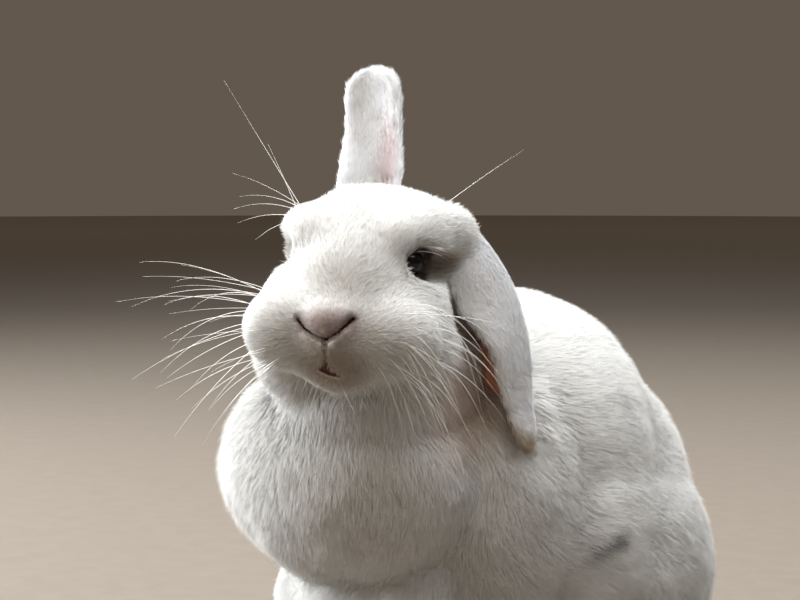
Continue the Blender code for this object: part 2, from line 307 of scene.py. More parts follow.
# Lengths are in mm in the head's axes.  Side 1 is the left and -1 the right.
EYE_RADIUS = 7.7
EYE_MIDDLE = (18.0, 46.2, 25.0)
EYE_LOOKS = {1: (1.0, -0.22, -0.04), -1: (-1.0, 0.16, 0.0)}
LID_HALF_LENGTH, LID_HALF_HEIGHT = 53.0, 57.0           # degrees, as seen from the eyeball's middle
LID_THICKNESS = 0.9
ORBITS = {                                              # the hollows that the eyes sit in: middle and radii
    1: ((28.5, 44.5, 23.0), (11.5, 14.0, 7.6)),
    -1: ((29.5, 50.0, 24.0), (10.5, 8.0, 7.5)),
}
EYE_SURROUND = (24, 44, 25)                             # on the hide, in the middle of each eye's lids
FINE_REACH = 19                                         # how far round the eyes and the nose it is finer


def points_of(mesh):
    found = np.empty(len(mesh.vertices) * 3)
    mesh.vertices.foreach_get("co", found)
    return found.reshape(-1, 3)


def in_head(points):
    """Places in the head's own axes, in mm from the nose tip."""
    back = np.array(head_axes.inverted())
    return (points @ back[:3, :3].T + back[:3, 3]) / MM


def out_of_head(local):
    """The other way: from the head's mm to places in the room."""
    out = np.array(head_axes)
    return local * MM @ out[:3, :3].T + out[:3, 3]


def press_orbit(local, side):
    """Scoops the hollow of one eye out of the side of the head."""
    middle, radii = (np.array(v, float) for v in ORBITS[side])
    off = (local * (side, 1, 1) - middle) / radii
    ring = off[:, 1] ** 2 + off[:, 2] ** 2
    floor = middle[0] - radii[0] * np.sqrt(np.clip(1 - ring, 0, 1))
    inside = (ring < 1) & (local[:, 0] * side > floor)
    local[inside, 0] = side * floor[inside]


local = in_head(points_of(skin.data))
for side in (1, -1):
    press_orbit(local, side)
skin.data.vertices.foreach_set("co", out_of_head(local).ravel())
bpy.context.view_layer.update()
with bpy.context.temp_override(active_object=skin, selected_editable_objects=[skin, feet, ears]):
    bpy.ops.object.join()
remelt(skin, voxel=1.8 * MM, smoothing=5)

bm = bmesh.new()
bm.from_mesh(skin.data)
fine_spots = [head_axes @ (Vector(spot) * MM) for spot in ((22, 44, 25), (-22, 44, 25), (0, 5, -6))]
for share in (1.0, 0.8):
    near = [
        edge
        for edge in bm.edges
        if any((edge.verts[0].co - spot).length < share * FINE_REACH * MM for spot in fine_spots)
    ]
    bmesh.ops.subdivide_edges(bm, edges=near, cuts=1, use_grid_fill=True)
bm.to_mesh(skin.data)
bm.free()


def smooth_step(low, high, value):
    share = np.clip((value - low) / (high - low), 0, 1)
    return share * share * (3 - 2 * share)


def length_of(vectors):
    return np.linalg.norm(vectors, axis=-1)


def unit(vectors):
    return vectors / np.maximum(length_of(vectors), 1e-9)[..., None]


def eye_middle(side):
    return np.array(EYE_MIDDLE) * (side, 1, 1)


def lid_angle(local, side):
    """How far out a point is from the eye's opening: 0 at the middle of the eye, 1 at the lids' edge."""
    looks = unit(np.array(EYE_LOOKS[side]))
    along = unit(np.cross(looks, (0, 0, 1)))
    rise = np.cross(looks, along)
    way = unit(local - eye_middle(side))
    angle = np.degrees(np.arccos(np.clip(way @ looks, -1, 1)))
    turn = np.arctan2(way @ rise, way @ along)
    return angle * np.hypot(np.cos(turn) / LID_HALF_LENGTH, np.sin(turn) / LID_HALF_HEIGHT)


def in_eye_reach(local, side, reach):
    return length_of(local - np.array(EYE_SURROUND) * (side, 1, 1)) < reach


def smooth_skin(groups, times):
    """Smooths the hide wherever any of these groups of its points says so."""
    bm = bmesh.new()
    bm.from_mesh(skin.data)
    bm.verts.ensure_lookup_table()
    near = [bm.verts[i] for i in np.flatnonzero(np.any(groups, axis=0))]
    for _ in range(times):
        bmesh.ops.smooth_vert(bm, verts=near, factor=0.5, use_axis_x=True, use_axis_y=True, use_axis_z=True)
    bm.to_mesh(skin.data)
    bm.free()


def shape_lids(local, side):
    """Lays the hide over the eyeball as lids, and draws it back inside their opening."""
    off = local - eye_middle(side)
    reach = length_of(off)
    out = lid_angle(local, side)
    lid = EYE_RADIUS * 0.84 + (EYE_RADIUS * 0.16 + LID_THICKNESS) * smooth_step(0.86, 1.02, out)
    lid += 0.5 * smooth_step(1.05, 1.3, out)
    share = 1 - smooth_step(1.1, 1.45, out)
    share *= 1 - smooth_step(1.6, 2.2, reach / EYE_RADIUS)
    local += unit(off) * ((lid - reach) * share)[:, None]


def press_groove(local, line, width, depth):
    """Presses a groove back into the face along a line of (x, z) points, and gives its strength."""
    flat = local[:, (0, 2)]
    nearest = np.full(len(local), 1e9)
    for start, end in zip(line, line[1:]):
        start, end = np.array(start, float), np.array(end, float)
        run = end - start
        share = np.clip((flat - start) @ run / (run @ run), 0, 1)
        nearest = np.minimum(nearest, length_of(flat - start - share[:, None] * run))
    strength = np.exp(-((nearest / width) ** 2)) * (local[:, 1] < 24)
    local[:, 1] += depth * strength
    return strength


# Lines across the face, as (x, z) points.  The nose twitches a little to the rabbit's right.
LEFT_NOSTRIL = ((0.4, -4.6), (3.6, -2.6), (6.2, 0.0), (9.2, 3.2))
RIGHT_NOSTRIL = ((-0.8, -4.6), (-5.0, -3.5), (-9.2, -1.8), (-12.8, 1.0))
LIP_GROOVE = ((-0.3, -4.4), (-0.4, -8.6), (-0.3, -14.0))
MOUTH = (
    (-0.3, -14.4), (-2.8, -16.8), (0.6, -18.2), (3.8, -18.6), (1.4, -17.0), (-0.3, -14.8), (-0.6, -17.0),
)

local = in_head(points_of(skin.data))
smooth_skin([in_eye_reach(local, side, FINE_REACH) for side in (1, -1)], times=10)
local = in_head(points_of(skin.data))
for side in (1, -1):
    shape_lids(local, side)
skin.data.vertices.foreach_set("co", out_of_head(local).ravel())
beyond_lids = [in_eye_reach(local, side, 21) & (lid_angle(local, side) > 1.15) for side in (1, -1)]
smooth_skin(beyond_lids, times=14)
local = in_head(points_of(skin.data))
grooves = np.zeros(len(local))
for line in (LEFT_NOSTRIL, RIGHT_NOSTRIL):
    press_groove(local, line, 2.1, 1.0)
    grooves = np.maximum(grooves, press_groove(local, line, 1.0, 3.4))
grooves = np.maximum(grooves, press_groove(local, LIP_GROOVE, 0.8, 1.8))
grooves = np.maximum(grooves, press_groove(local, MOUTH, 1.1, 1.7))
places = out_of_head(local)
places[:, 2] = np.maximum(places[:, 2], SOLE)
skin.data.vertices.foreach_set("co", places.ravel())
skin.data.update()

# Under the long fur of the body, clear of the feet and the head, the hide is a little lumpy.
WAVES = 40
random = np.random.default_rng(7)
wave_ways = random.normal(size=(WAVES, 3))
wave_starts = random.uniform(0, 2 * math.pi, WAVES)


def rippled(points, size):
    """A smooth random value about 0, changing over this size in mm."""
    return np.sin(points / (size * MM) @ wave_ways.T + wave_starts).sum(axis=1) / math.sqrt(WAVES / 2)


normals = np.empty(len(places) * 3)
skin.data.vertices.foreach_get("normal", normals)
lump = 0.16 * rippled(places, 5.5) + 0.14 * rippled(places, 2.8)
lump *= smooth_step(22, 34, places[:, 2] / MM) * smooth_step(70, 100, length_of(local - (0, 40, 20)))
places += normals.reshape(-1, 3) * (lump * MM)[:, None]
skin.data.vertices.foreach_set("co", places.ravel())
skin.data.update()

# What grows where: for each place on the hide, the depth of the coat and the way the fur lies.
EYE_BARE = 8.5          # mm from the eye's middle within which fur is at its shortest


def fur_fields(points):
    """The coat's depth in mm and the way it lies, blended from the masses near each place."""
    weight = np.zeros(len(points))
    depth = np.zeros(len(points))
    lie = np.zeros((len(points), 3))
    local = in_head(points)
    turn = np.array(head_turn)[:3, :3]
    from_nose = unit(local - (-0.4, -5, -4.8)) @ turn.T
    for matrix, coat, way in masses:
        back = np.array(matrix.inverted())
        off = length_of(points @ back[:3, :3].T + back[:3, 3]) - 1
        gap = np.maximum(off, 0) * np.mean(matrix.to_scale()) / (3 * MM)
        share = np.exp(-gap)
        weight += share
        depth += share * coat
        lie += share[:, None] * (from_nose if way is None else unit(np.array(way)))
    return depth / weight, lie / weight[:, None]


skin_places = points_of(skin.data)
skin_local = in_head(skin_places)
skin_depth, skin_lie = fur_fields(skin_places)
skin_normals = np.empty(len(skin_places) * 3)
skin.data.vertices.foreach_get("normal", skin_normals)
skin_normals = skin_normals.reshape(-1, 3)

# The ears' own fur: short, lying towards the tip, thinner and shorter inside.
tree = kdtree.KDTree(len(ear_points))
for i, spot in enumerate(ear_points):
    tree.insert(spot[:3], i)
tree.balance()
EAR_COAT, EAR_INSIDE_COAT = 1.8, 1.2
ear_share = np.zeros(len(skin_places))
ear_inside = np.zeros(len(skin_places))
ear_along = np.zeros(len(skin_places))
ear_across = np.zeros(len(skin_places))
hanging = np.zeros(len(skin_places), bool)
low_corner = ear_points[:, :3].min(axis=0) - 14 * MM
high_corner = ear_points[:, :3].max(axis=0) + 14 * MM
for i in np.flatnonzero(np.all((skin_places > low_corner) & (skin_places < high_corner), axis=1)):
    _, nearest, gap = tree.find(skin_places[i])
    spot = ear_points[nearest]
    by_hanging_ear = nearest >= len(upright_points)
    if gap > 0.8 * EAR_WALL:
        # Not on the ear.  The hanging ear presses the fur of the neck beside it flat.
        if by_hanging_ear and spot[9] > 0.3:
            skin_depth[i] *= 0.25 + 0.75 * smooth_step(4 * MM, 14 * MM, gap)
        continue
    root = smooth_step(0.1, 0.25, spot[9])
    inside = skin_normals[i] @ spot[6:9]
    ear_share[i] = root
    ear_inside[i] = root * smooth_step(0.2, 0.8, inside)
    ear_along[i], ear_across[i] = spot[9:]
    hanging[i] = by_hanging_ear
    skin_lie[i] = skin_lie[i] * (1 - root) + spot[3:6] * root
skin_depth += (EAR_COAT - skin_depth) * ear_share
skin_depth += (np.where(hanging, EAR_INSIDE_COAT, EAR_COAT) - skin_depth) * ear_inside

# The fur parts round each eye and is short on the lids and the nose; the nostrils, the mouth and the
# inside of the hanging ear are bare.
PARTING_REACH, PARTING_PUSH = 15, 4.0      # mm, and how strongly the fur lies away from the eye
bare = smooth_step(0.10, 0.38, grooves)
open_ear = hanging * smooth_step(0.22, 0.34, ear_along)
open_skin = open_ear * smooth_step(0.5, 0.9, ear_inside) * (1 - smooth_step(0.76, 0.92, ear_along))
bare = np.maximum(bare, open_skin)
for side in (1, -1):
    off = skin_local - eye_middle(side)
    gap = length_of(off)
    near = np.exp(-((gap / PARTING_REACH) ** 2))
    push = unit(off) @ np.array(head_turn)[:3, :3].T
    skin_lie += push * (near * (ear_share < 0.5) * PARTING_PUSH)[:, None]
    skin_depth *= 1 - 0.80 * (1 - smooth_step(EYE_BARE, EYE_BARE + 7, gap))
off_nose = length_of(skin_local - (0, 3, 0))
skin_depth *= 0.45 + 0.55 * smooth_step(6, 22, off_nose)

# Markings: white all over, warmer round the mouth, and pink on the nose. Painted light: a warm glow on
# the neck below the hanging ear and an orange glow inside that ear, both standing in for light through
# the ear; brown shade in the hollows behind the eyes and at the nostrils; pink inside the upright ear,
# darker on its deeper side as painted shade; and shade on the hanging ear's tip. A small grey smudge
# sits low on the left flank.
WHITE = (0.83, 0.83, 0.82)
NOSE_PINK = (0.46, 0.37, 0.355)
WARM_TAN = (0.44, 0.345, 0.27)
GROOVE_RED_AND_SHADE = (0.10, 0.032, 0.025)
NOSTRIL_PAINTED_SHADE = (0.20, 0.13, 0.10)
NECK_PAINTED_GLOW = (0.76, 0.60, 0.49)
EYE_BROWN = (0.085, 0.065, 0.050)
SOCKET_PAINTED_SHADE = (0.42, 0.35, 0.29)
EAR_WHITE = (0.88, 0.89, 0.91)
EAR_PINK_AND_SHADE = (0.62, 0.50, 0.51)
EAR_PAINTED_GLOW = (0.95, 0.47, 0.28)
EAR_TIP_PAINTED_SHADE = (0.62, 0.51, 0.39)
SMUDGE_GREY = (0.14, 0.14, 0.15)
SMUDGE_ENDS = ((70.5, -28, 77.5), (75.5, -11, 83.0))


def mixed(colour, other, share):
    """Each place's colour, taken this share of the way to another."""
    return colour + (np.array(other) - colour) * share[:, None]


colour = np.tile(np.array(WHITE), (len(skin_places), 1))
off_nostril = length_of((skin_local - (0, 4, 0)) / (14, 10, 8))
colour = mixed(colour, NOSE_PINK, 0.85 * (1 - smooth_step(0.35, 1.2, off_nostril)))
off_mouth = length_of((skin_local - (1.5, 10, -15)) / (15, 18, 11))
colour = mixed(colour, WARM_TAN, 0.7 * (1 - smooth_step(0.35, 1.35, off_mouth)))
# Painted glow: a warm fawn tint on the neck below the hanging ear, standing in for light through the ear.
off_neck_glow = length_of((skin_local - (38, 62, -32)) / (20, 28, 26))
colour = mixed(colour, NECK_PAINTED_GLOW, 0.6 * (1 - smooth_step(0.3, 1.3, off_neck_glow)))
# Painted shade: brown at the nostrils' outer ends and under the nose's V, where the face is in shade.
for middle, radius in (((-11.0, 6, 0.6), 4.2), ((8.6, 6, 2.8), 3.6), ((0, 4, -4.6), 2.6)):
    gap = length_of(skin_local - middle) / radius
    colour = mixed(colour, NOSTRIL_PAINTED_SHADE, 0.6 * (1 - smooth_step(0.3, 1.3, gap)))
for side in (1, -1):
    # Painted shade: brown in the hollow behind each eye, stronger on the left.
    gap = length_of((skin_local - np.array((29, 54, 24)) * (side, 1, 1)) / (10, 9, 7))
    strong = 0.9 if side == 1 else 0.4
    colour = mixed(colour, SOCKET_PAINTED_SHADE, strong * (1 - smooth_step(0.5, 1.3, gap)) * (ear_share < 0.3))
    on_lids = length_of(skin_local - eye_middle(side)) <= 11
    colour = mixed(colour, EYE_BROWN, (1 - smooth_step(1.05, 1.35, lid_angle(skin_local, side))) * on_lids)
colour = mixed(colour, EAR_WHITE, ear_share)
# The upright ear's pink inner skin, darker towards its deeper lower side as painted shade.
pink = 0.8 * ear_inside * (1 - smooth_step(0.4, 0.75, ear_along)) * smooth_step(-0.1, 0.6, ear_across)
colour = mixed(colour, EAR_PINK_AND_SHADE, pink * (1 - hanging))
# Painted glow: orange inside the hanging ear, standing in for light shining through its thin skin.
colour = mixed(colour, EAR_PAINTED_GLOW, 0.95 * smooth_step(0.4, 0.9, ear_inside) * open_ear)
# Painted shade: tan on the hanging ear's tip.
colour = mixed(colour, EAR_TIP_PAINTED_SHADE, 0.85 * hanging * smooth_step(0.86, 0.97, ear_along))
body_local = (skin_places - np.array(body_axes.translation)) / MM
start, end = np.array(SMUDGE_ENDS)
share = np.clip((body_local - start) @ (end - start) / ((end - start) @ (end - start)), 0, 1)
gap = length_of(body_local - start - share[:, None] * (end - start))
colour = mixed(colour, SMUDGE_GREY, 0.8 * (1 - smooth_step(1.5, 4.0, gap)))


def add_colours(mesh, colours):
    layer = mesh.color_attributes.new("marking", "FLOAT_COLOR", "POINT")
    layer.data.foreach_set("color", np.column_stack([colours, np.ones(len(colours))]).ravel())


def new_material(name, roughness):
    """A material, and the nodes, links and shader to build it with."""
    material = bpy.data.materials.new(name)
    material.use_nodes = True
    shader = material.node_tree.nodes["Principled BSDF"]
    shader.inputs["Roughness"].default_value = roughness
    return material, material.node_tree.nodes, material.node_tree.links, shader


def noise_on(nodes, links, scale, detail=3):
    """A noise pattern in the piece's own metres."""
    place = nodes.new("ShaderNodeTexCoord")
    noise = nodes.new("ShaderNodeTexNoise")
    noise.inputs["Scale"].default_value = scale
    noise.inputs["Detail"].default_value = detail
    links.new(place.outputs["Object"], noise.inputs["Vector"])
    return noise


def marked(nodes, links, shader, noise, low, high):
    """The marking colour, lightened and darkened a little by the noise."""
    marking = nodes.new("ShaderNodeAttribute")
    marking.attribute_name = "marking"
    spread = nodes.new("ShaderNodeMapRange")
    spread.inputs["To Min"].default_value = low
    spread.inputs["To Max"].default_value = high
    links.new(noise.outputs["Fac"], spread.inputs["Value"])
    tint = nodes.new("ShaderNodeVectorMath")
    tint.operation = "SCALE"
    links.new(marking.outputs["Color"], tint.inputs[0])
    links.new(spread.outputs["Result"], tint.inputs["Scale"])
    links.new(tint.outputs["Vector"], shader.inputs["Base Color"])
    return tint


BARE_PINK = (0.80, 0.62, 0.56)
skin_under_fur = mixed(colour, BARE_PINK, 0.25 * smooth_step(0.3, 0.8, colour[:, 1]))
# The grooves' own dark red, made darkest at their bottoms as painted shade.
skin_under_fur = mixed(skin_under_fur, GROOVE_RED_AND_SHADE, smooth_step(0.03, 0.18, grooves))
add_colours(skin.data, skin_under_fur)
hide, nodes, links, shader = new_material("hide", 0.6)
shader.inputs["Subsurface Weight"].default_value = 0.15
shader.inputs["Subsurface Radius"].default_value = (0.004, 0.0015, 0.001)
grain = noise_on(nodes, links, 900)
marked(nodes, links, shader, grain, 0.86, 1.1)
bump = nodes.new("ShaderNodeBump")
bump.inputs["Strength"].default_value = 0.35
bump.inputs["Distance"].default_value = 0.0004
links.new(grain.outputs["Fac"], bump.inputs["Height"])
links.new(bump.outputs["Normal"], shader.inputs["Normal"])
skin.data.materials.append(hide)

# The unwrap of the hide, which the fur's patches follow.
bpy.context.view_layer.objects.active = skin
skin.select_set(True)
bpy.ops.object.mode_set(mode="EDIT")
bpy.ops.mesh.select_all(action="SELECT")
bpy.ops.uv.smart_project(angle_limit=math.radians(66), island_margin=0.002)
bpy.ops.object.mode_set(mode="OBJECT")
skin.data.uv_layers[0].name = "OFBake"
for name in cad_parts:
    if not name.startswith(("eye", "claw")):
        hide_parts(name)
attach(skin, "root")

# ---------------------------------------------------------------------------------------------
# Eyes.  Wet dark balls, almost all pupil from outside, with a faint deep brown ring and a bulge in
# front.  They sit loose in the sockets, held by the lids.

CORNEA_BULGE = 0.5
eye_shine, nodes, links, shader = new_material("wet eye", 0.12)
ring = nodes.new("ShaderNodeAttribute")
ring.attribute_name = "from_pupil"
iris = nodes.new("ShaderNodeValToRGB")
pupil, brown = iris.color_ramp.elements
pupil.position, brown.position = 0.30, 0.38
pupil.color = (0.003, 0.003, 0.005, 1)
brown.color = (0.010, 0.007, 0.006, 1)
rim = iris.color_ramp.elements.new(0.72)
rim.color = (0.007, 0.007, 0.012, 1)
links.new(ring.outputs["Fac"], iris.inputs["Fac"])
links.new(iris.outputs["Color"], shader.inputs["Base Color"])
shader.inputs["Specular IOR Level"].default_value = 0.2
shader.inputs["Coat Weight"].default_value = 0.25
shader.inputs["Coat Roughness"].default_value = 0.02

for side, name in ((1, "left"), (-1, "right")):
    bm = bmesh.new()
    bmesh.ops.create_uvsphere(bm, u_segments=64, v_segments=48, radius=EYE_RADIUS * MM)
    # The operator lists its faces in another order on each run, so they are put in that of their corners.
    bm.verts.index_update()
    by_corners = sorted(bm.faces, key=lambda face: sorted(v.index for v in face.verts))
    for i, face in enumerate(by_corners):
        face.index = i
    bm.faces.sort()
    from_pupil = bm.verts.layers.float.new("from_pupil")
    for v in bm.verts:
        angle = v.co.angle(Vector((0, 0, 1)))
        v[from_pupil] = angle / math.pi * 2
        v.co *= 1 + CORNEA_BULGE / EYE_RADIUS * max(math.cos(angle * 1.6), 0) ** 2 * (angle < 1)
    looks = head_turn.to_3x3() @ Vector(EYE_LOOKS[side])
    spot = head_axes @ (Vector((side * EYE_MIDDLE[0], *EYE_MIDDLE[1:])) * MM)
    bm.transform(Matrix.Translation(spot) @ looks.to_track_quat("Z", "Y").to_matrix().to_4x4())
    mesh = bpy.data.meshes.new("eyeball_" + name)
    bm.to_mesh(mesh)
    bm.free()
    mesh.shade_smooth()
    mesh.materials.append(eye_shine)
    eyeball = added("eyeball_" + name, mesh)
    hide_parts("eye_" + name)
    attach(eyeball, "root")

# ---------------------------------------------------------------------------------------------
# Claws.  Four to a foot, of pale streaky horn.  Their CAD solids have the right shape and keep their
# places.


def two_toned(nodes, links, noise, low, high):
    """A colour that the noise varies between these two."""
    tone = nodes.new("ShaderNodeValToRGB")
    tone.color_ramp.elements[0].color = (*low, 1)
    tone.color_ramp.elements[1].color = (*high, 1)
    links.new(noise.outputs["Fac"], tone.inputs["Fac"])
    return tone.outputs["Color"]


horn, nodes, links, shader = new_material("claw horn", 0.35)
streaks = noise_on(nodes, links, scale=400, detail=4)
horn_tone = two_toned(nodes, links, streaks, (0.45, 0.33, 0.26), (0.78, 0.70, 0.60))
links.new(horn_tone, shader.inputs["Base Color"])
for name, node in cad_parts.items():
    if name.startswith("claw"):
        node.material_slots[0].material = horn

# ---------------------------------------------------------------------------------------------
# Coat.  Soft white fur, short on the face and feet and longer on the body, lying back from the nose
# and down the sides.  It is made of thin tapered tufts rooted in the hide, in one piece for each part
# of the body.

TUFT_PATCH = 0.003      # how much of the unwrap one tuft covers


def lock_middles(points, size):
    """The nearest of many scattered points, one to each cell of this size in mm: the middle of a lock."""
    cells = np.floor(points / (size * MM)).astype(np.int64)
    best = np.full(len(points), 1e9)
    found = points.copy()
    for step in np.ndindex(3, 3, 3):
        cell = cells + np.array(step) - 1
        # Big primes and a big factor scatter the points with no pattern.
        mix = (cell * (73856093, 19349663, 83492791)).sum(axis=1)
        jitter = [np.modf(np.abs(np.sin(mix * k) * 43758.5453))[0] for k in (0.71, 0.37, 0.19)]
        spot = (cell + np.stack(jitter, axis=1)) * size * MM
        gap = length_of(spot - points)
        near = gap < best
        best[near], found[near] = gap[near], spot[near]
    return found


hide_mesh = skin.data
hide_mesh.calc_loop_triangles()
corners = np.empty(len(hide_mesh.loop_triangles) * 3, np.int64)
hide_mesh.loop_triangles.foreach_get("vertices", corners)
corners = corners.reshape(-1, 3)
loops = np.empty(len(hide_mesh.loop_triangles) * 3, np.int64)
hide_mesh.loop_triangles.foreach_get("loops", loops)
unwrap = np.empty(len(hide_mesh.loops) * 2)
hide_mesh.uv_layers["OFBake"].data.foreach_get("uv", unwrap)
unwrap = unwrap.reshape(-1, 2)[loops.reshape(-1, 3)]
a, b, c = (skin_places[corners[:, i]] for i in range(3))
triangle_area = length_of(np.cross(b - a, c - a)) / 2 / MM ** 2
triangle_middle = (a + b + c) / 3

fur, nodes, links, shader = new_material("white fur", 0.75)
shader.inputs["Specular IOR Level"].default_value = 0.25
shader.inputs["Sheen Weight"].default_value = 0.15
shader.inputs["Sheen Roughness"].default_value = 0.5
strands = noise_on(nodes, links, 350)
tint = marked(nodes, links, shader, strands, 0.93, 1.06)
glow = nodes.new("ShaderNodeBsdfTranslucent")
blend = nodes.new("ShaderNodeMixShader")
blend.inputs["Fac"].default_value = 0.38
links.new(tint.outputs["Vector"], glow.inputs["Color"])
links.new(shader.outputs["BSDF"], blend.inputs[1])
links.new(glow.outputs["BSDF"], blend.inputs[2])
links.new(blend.outputs["Shader"], nodes["Material Output"].inputs["Surface"])


def grow(
    name, chosen, thick, length, width, slot, seed, softness, roll,
    lock=0.0, lock_size=6.0, lift=(0.55, 1.05), shades=(0.93, 1.05),
):
    """One piece of the coat on the chosen triangles of the hide.

    thick is how many layers of tufts cover the hide.  length and width, in mm, are each a start and
    a share of the coat's depth there.  softness is how far a tuft is lit like the hide under it, not
    like a flat blade, and roll how far it turns on its own length, in radians.  lock is how far the
    tips of a lock draw together, and lift how far the tips stand off, as shares of the coat's depth.
    shades is how dark and how light the tufts get, as shares of the marking.
    """
    draw = np.random.default_rng(seed)
    rows = np.flatnonzero(chosen)
    depth_here = skin_depth[corners[rows]].mean(axis=1)
    long_here = length[0] + length[1] * depth_here
    wide_here = width[0] + width[1] * depth_here
    density = thick / (long_here * wide_here * 0.5) * (bare[corners[rows]].min(axis=1) < 0.5)
    total = np.cumsum(density * triangle_area[rows])
    count = int(total[-1])
    picks = np.searchsorted(total, (np.arange(count) + draw.uniform(size=count)) / count * total[-1])
    picks = rows[np.minimum(picks, len(rows) - 1)]
    share = np.sqrt(draw.uniform(size=count))[:, None]
    other = draw.uniform(size=count)[:, None]
    weights = np.hstack([1 - share, share * (1 - other), share * other])
    haired = np.einsum("ij,ij->i", weights, bare[corners[picks]]) < 0.5
    local = in_head(np.einsum("ij,ij...->i...", weights, skin_places[corners[picks]]))
    for side in (1, -1):
        gap = length_of(local - eye_middle(side))
        haired &= (gap > EYE_RADIUS + 0.4) | (lid_angle(local, side) > 1.2)
    picks, weights = picks[haired], weights[haired]
    count = len(picks)

    def at_root(values):
        return np.einsum("ij,ij...->i...", weights, values[corners[picks]])

    root = at_root(skin_places)
    out = unit(at_root(skin_normals))
    patch = np.einsum("ij,ijk->ik", weights, unwrap[picks])
    depth = at_root(skin_depth)
    tone = at_root(colour) * draw.uniform(*shades, count)[:, None]
    lie = at_root(skin_lie)
    lie = unit(lie - (lie * out).sum(axis=1)[:, None] * out)
    across = np.cross(out, lie)
    sway = 0.22 * rippled(root, 14 + 2 * depth.mean()) + 0.14 * rippled(root, 4)
    sway = sway + draw.normal(0, 0.18, count)
    way = lie * np.cos(sway)[:, None] + across * np.sin(sway)[:, None]
    across = np.cross(out, way)
    roll = draw.normal(0, roll, count)[:, None]
    flat = across * np.cos(roll) + out * np.sin(roll)
    long = (length[0] + length[1] * depth) * MM * draw.uniform(0.7, 1.15, count)
    high = depth * MM * draw.uniform(*lift, count) * (1 + 0.12 * rippled(root, 5 + depth.mean()))
    high = np.minimum(high, 0.9 * long)
    run = np.sqrt(long ** 2 - high ** 2)
    wide = (width[0] + width[1] * depth) * MM * draw.uniform(0.7, 1.2, count)
    pull = (lock_middles(root, lock_size) if lock else root) - root
    pull -= (pull * out).sum(axis=1)[:, None] * out
    verts, patches, tones, normals = [], [], [], []
    for t, ends in ((0, (0,)), (0.45, (-1, 1)), (1, (0,))):
        rise = high * (1 - (1 - t) ** 1.7)
        steep = (high * 1.7 * (1 - t) ** 0.7)[:, None]
        spot = root + way * (run * t)[:, None] + out * (rise - 0.3 * MM * (1 - t))[:, None]
        spot += pull * lock * t * t
        facing = unit(np.cross(way * run[:, None] + out * steep, flat))
        for end in ends:
            place = spot + flat * wide[:, None] * end / 2
            place[:, 2] = np.maximum(place[:, 2], 0.1 * MM)
            verts.append(place)
            patches.append(patch + np.array((end / 2, t - 0.5)) * TUFT_PATCH)
            # Each tuft is painted a tenth darker at its root: painted shade, as deep inside a coat.
            tones.append(tone * (0.9 + 0.1 * t))
            normals.append(unit(out * softness + facing * (1 - softness) + flat * (0.15 * end)))
    verts, patches, tones, normals = (
        np.stack(columns, axis=1).reshape(count * 4, -1) for columns in (verts, patches, tones, normals)
    )
    index = (np.arange(count)[:, None] * 4 + np.array((0, 1, 2, 1, 3, 2))).ravel()
    mesh = bpy.data.meshes.new(name)
    mesh.vertices.add(len(verts))
    mesh.vertices.foreach_set("co", verts.ravel())
    mesh.loops.add(len(index))
    mesh.loops.foreach_set("vertex_index", index)
    mesh.polygons.add(count * 2)
    mesh.polygons.foreach_set("loop_start", np.arange(count * 2) * 3)
    mesh.update(calc_edges=True)
    mesh.shade_smooth()
    lit = mesh.attributes.new("custom_normal", "FLOAT_VECTOR", "POINT")
    lit.data.foreach_set("vector", normals.ravel())
    mesh.uv_layers.new(name="OFBake").data.foreach_set("uv", patches[index].ravel())
    add_colours(mesh, tones)
    mesh.materials.append(fur)
    piece = added(name, mesh)
    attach(piece, "root")


# Which triangles grow which piece, by height off the floor, distance back from the nose tip and depth
# of the coat, all in mm.
FOOT_TOP, FOOT_COAT = 30, 3.2
HEAD_BOTTOM, HEAD_BACK, HEAD_COAT = 130, 125, 5.2
MUZZLE_END, FACE_END = 34, 70
height = triangle_middle[:, 2] / MM
behind_nose = in_head(triangle_middle)[:, 1]
body_middle = (triangle_middle - np.array(body_axes.translation)) / MM
coat_depth = skin_depth[corners].mean(axis=1)
on_ear = ear_share[corners].mean(axis=1) > 0.5
on_foot = (height < FOOT_TOP) & (coat_depth < FOOT_COAT)
on_head = ~on_ear & ~on_foot & (coat_depth < HEAD_COAT) & (height > HEAD_BOTTOM) & (behind_nose < HEAD_BACK)
on_muzzle = on_head & (behind_nose < MUZZLE_END)
on_face = on_head & ~on_muzzle & (behind_nose < FACE_END)
on_nape = on_head & ~on_muzzle & ~on_face
on_body = ~on_ear & ~on_foot & ~on_head
fine = dict(
    slot="head", length=(0.6, 1.9), width=(0.14, 0.045), softness=0.45, roll=0.42,
    lock=0.25, lock_size=3.5, lift=(0.4, 1.2), shades=(0.84, 1.08),
)
grow("coat_muzzle", on_muzzle, 4.2, seed=11, **fine)
grow("coat_face", on_face, 4.2, seed=12, **fine)
grow("coat_nape", on_nape, 4.0, seed=13, **fine)
short = dict(softness=0.85, roll=0.25)
grow("coat_ears", on_ear, 3.8, slot="ear_left", seed=14, length=(1.2, 1.8), width=(0.18, 0.05), **short)
grow(
    "coat_feet", on_foot, 2.6, slot="hind_foot_left", seed=15,
    length=(2.0, 1.8), width=(0.36, 0.09), **short,
)
soft = dict(
    slot="trunk", length=(2.0, 1.45), width=(0.09, 0.025), softness=0.92, roll=0.18,
    lock=0.12, lift=(0.7, 1.0),
)
BANDS = (("front", -1e3, -40), ("middle", -40, 22), ("rear", 22, 1e3))     # mm back along the body
for number, (band, front, rear) in enumerate(BANDS):
    in_band = on_body & (body_middle[:, 1] >= front) & (body_middle[:, 1] < rear)
    for side, word in ((1, "left"), (-1, "right")):
        half = in_band & (body_middle[:, 0] * side > 0)
        grow(f"coat_{band}_{word}", half, 5.4, seed=16 + 2 * number + side, **soft)

# ---------------------------------------------------------------------------------------------
# Whiskers.  Long stiff white hairs in rows on each whisker pad, a few over each eye and short ones
# on the chin.  Each is a tapered spine rooted in the hide, bending down under its own weight.

